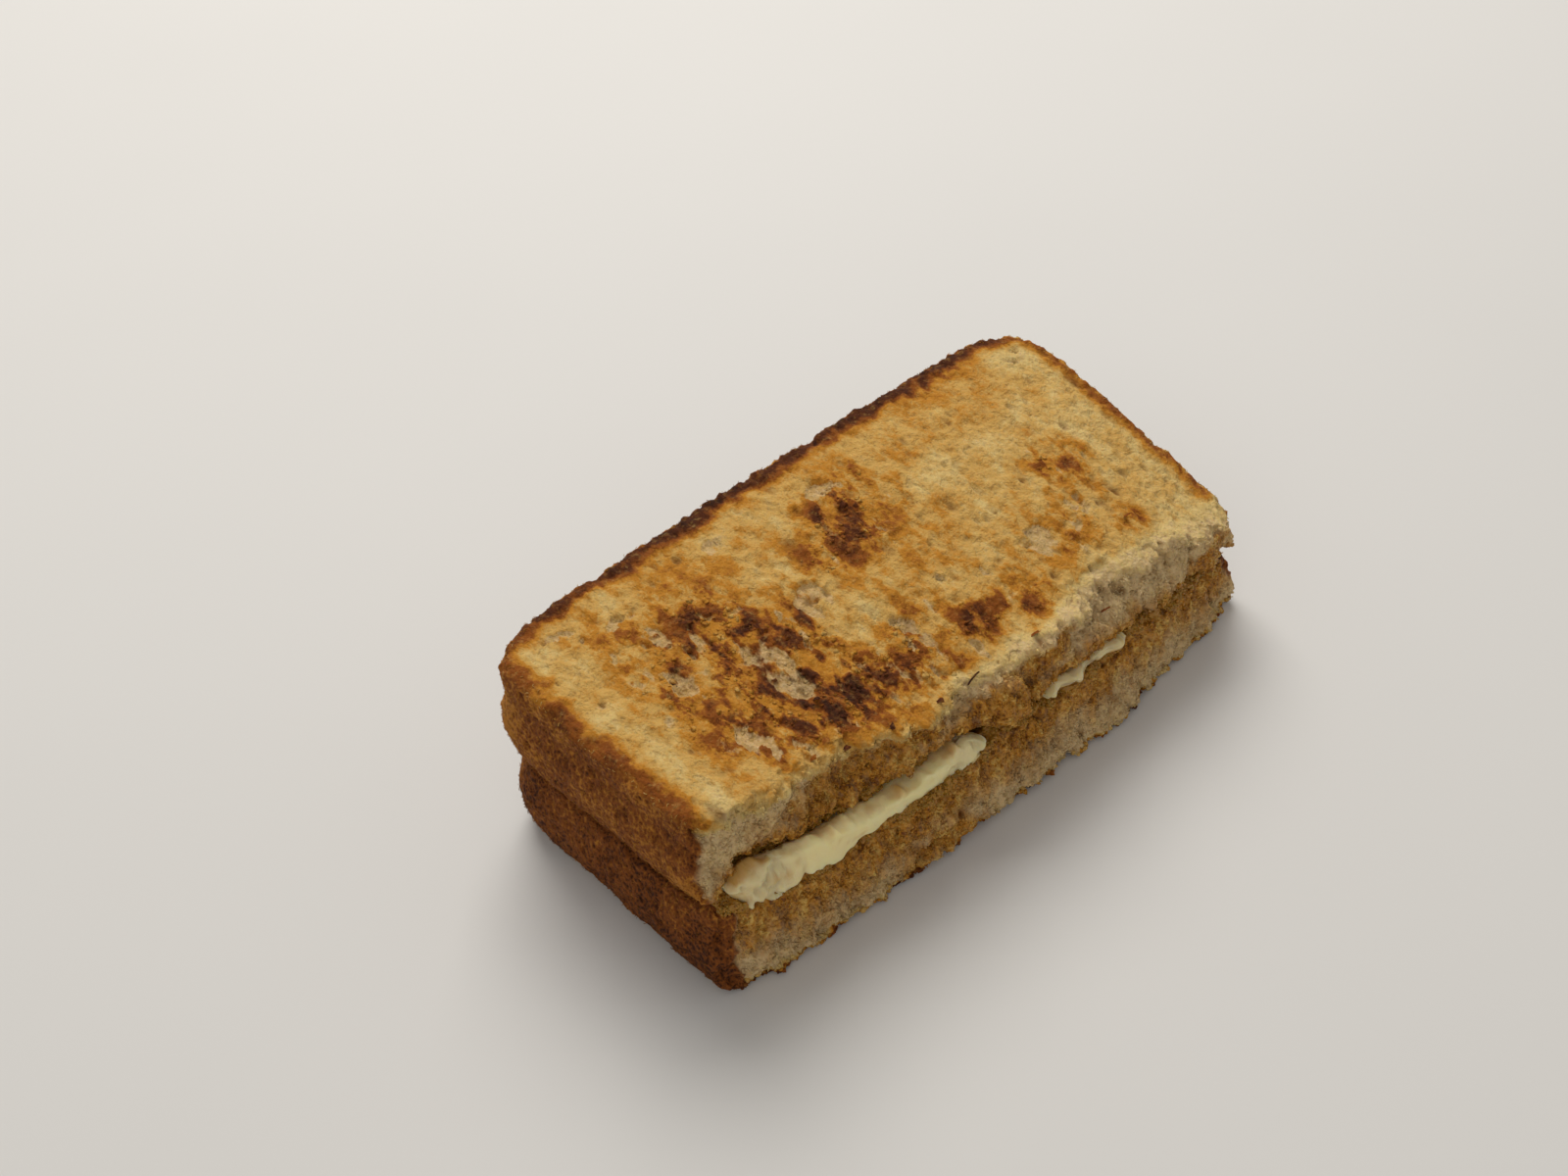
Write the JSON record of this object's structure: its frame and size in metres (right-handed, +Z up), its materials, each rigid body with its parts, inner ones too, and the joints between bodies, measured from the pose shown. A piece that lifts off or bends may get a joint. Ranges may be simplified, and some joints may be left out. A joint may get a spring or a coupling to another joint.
{
  "type": "kaya toast",
  "caption": "Half of a toasted white bread sandwich, cut across, with kaya spread and slabs of butter showing along the cut.",
  "frame": {"origin": "on the flat toasted underside, at the middle of its length and of its straight-sided depth", "axes": "+Z up out of the toasted face, +X along the cut towards the end where the sandwich is pressed lower, +Y from the cut to the back crust"},
  "size_m": [0.1228, 0.0632, 0.0367],
  "materials": {
    "toasted_bread": "matt, porous, toasted",
    "kaya": "wet, glossy",
    "butter": "soft satin"
  },
  "bodies": {
    "root": {"lower_slice": "toasted_bread", "upper_slice": "toasted_bread", "lower_kaya": "kaya", "upper_kaya": "kaya", "butter_long": "butter", "butter_short": "butter"}
  },
  "joints": []
}
